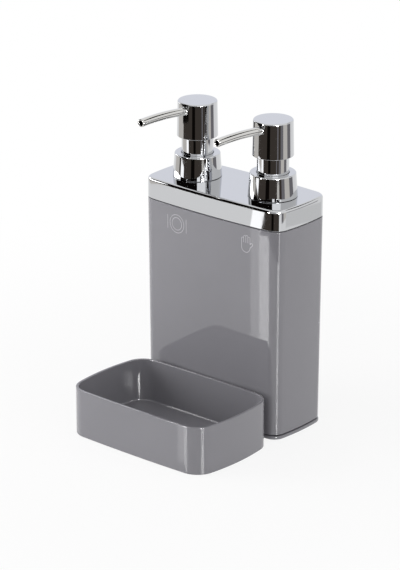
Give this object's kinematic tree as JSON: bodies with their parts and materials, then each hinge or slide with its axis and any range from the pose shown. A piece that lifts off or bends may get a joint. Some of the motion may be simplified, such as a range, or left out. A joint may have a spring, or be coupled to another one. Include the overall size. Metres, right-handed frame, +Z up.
{
  "type": "soap pump caddy",
  "caption": "Free-standing twin soap dispenser: a tall bowed box with a plated lid, two push pumps with thin spouts, and a drop-on sponge tray in front.",
  "frame": {"origin": "middle of the footprint, shell and tray together, on the surface it stands on", "axes": "+Z up, -Y to the front where the spouts point and the tray stands, +X to the right of the front"},
  "size_m": [0.12, 0.1312, 0.2127],
  "materials": {
    "grey_abs": "glossy injection-moulded ABS, mid grey",
    "chrome_plated_abs": null,
    "polished_steel": "polished stainless steel tube",
    "stainless_steel": "drawn stainless steel",
    "natural_pp": "natural polypropylene, milky",
    "gasket_rubber": "soft flat gasket"
  },
  "bodies": {
    "caddy": {"shell": "grey_abs", "base_plate": "grey_abs", "lid": "chrome_plated_abs", "lid_gasket": "gasket_rubber"},
    "tray": {"tray": "grey_abs"},
    "left_pump": {"left_guide_sleeve": "chrome_plated_abs", "left_neck_gasket": "gasket_rubber", "left_pump_housing": "natural_pp", "left_dip_tube": "natural_pp", "left_return_spring": "stainless_steel"},
    "left_collar": {"left_collar": "chrome_plated_abs"},
    "left_plunger": {"left_stem": "natural_pp", "left_piston": "natural_pp"},
    "left_head": {"left_pump_head": "chrome_plated_abs", "left_spout": "polished_steel"},
    "left_valve": {"left_inlet_ball": "stainless_steel"},
    "right_pump": {"right_guide_sleeve": "chrome_plated_abs", "right_neck_gasket": "gasket_rubber", "right_pump_housing": "natural_pp", "right_dip_tube": "natural_pp", "right_return_spring": "stainless_steel"},
    "right_collar": {"right_collar": "chrome_plated_abs"},
    "right_plunger": {"right_stem": "natural_pp", "right_piston": "natural_pp"},
    "right_head": {"right_pump_head": "chrome_plated_abs", "right_spout": "polished_steel"},
    "right_valve": {"right_inlet_ball": "stainless_steel"}
  },
  "joints": [
    {"name": "tray_lift", "type": "slide", "parent": "caddy", "child": "tray", "axis": [0, 0, 1], "range_m": [0, 0.06]},
    {"name": "left_pump_rise", "type": "slide", "parent": "caddy", "child": "left_pump", "axis": [0, 0, 1], "range_m": [0, 0.00634]},
    {"name": "left_collar_turn", "type": "hinge", "parent": "left_pump", "child": "left_collar", "pos_m": [-0.0325, 0.0377, 0.16], "axis": [0, 0, 1], "range_deg": [0, 540]},
    {"name": "left_press", "type": "slide", "parent": "left_pump", "child": "left_plunger", "axis": [0, 0, -1], "range_m": [0, 0.011], "stiffness_N_per_m": 1200, "springref_m": -0.004, "deforming": ["left_return_spring"]},
    {"name": "left_swivel", "type": "hinge", "parent": "left_plunger", "child": "left_head", "pos_m": [-0.0325, 0.0377, 0.16], "axis": [0, 0, 1], "range_deg": [-205, 25]},
    {"name": "left_valve_lift", "type": "slide", "parent": "left_pump", "child": "left_valve", "axis": [0, 0, 1], "range_m": [0, 0.0012]},
    {"name": "right_pump_rise", "type": "slide", "parent": "caddy", "child": "right_pump", "axis": [0, 0, 1], "range_m": [0, 0.00634]},
    {"name": "right_collar_turn", "type": "hinge", "parent": "right_pump", "child": "right_collar", "pos_m": [0.0325, 0.0377, 0.16], "axis": [0, 0, 1], "range_deg": [0, 540]},
    {"name": "right_press", "type": "slide", "parent": "right_pump", "child": "right_plunger", "axis": [0, 0, -1], "range_m": [0, 0.011], "stiffness_N_per_m": 1200, "springref_m": -0.004, "deforming": ["right_return_spring"]},
    {"name": "right_swivel", "type": "hinge", "parent": "right_plunger", "child": "right_head", "pos_m": [0.0325, 0.0377, 0.16], "axis": [0, 0, 1], "range_deg": [-25, 205]},
    {"name": "right_valve_lift", "type": "slide", "parent": "right_pump", "child": "right_valve", "axis": [0, 0, 1], "range_m": [0, 0.0012]}
  ],
  "couplings": [
    {"joint": "left_collar_turn", "follows": "left_pump_rise", "rad_per_m": 1484.3},
    {"joint": "right_collar_turn", "follows": "right_pump_rise", "rad_per_m": 1484.3}
  ]
}
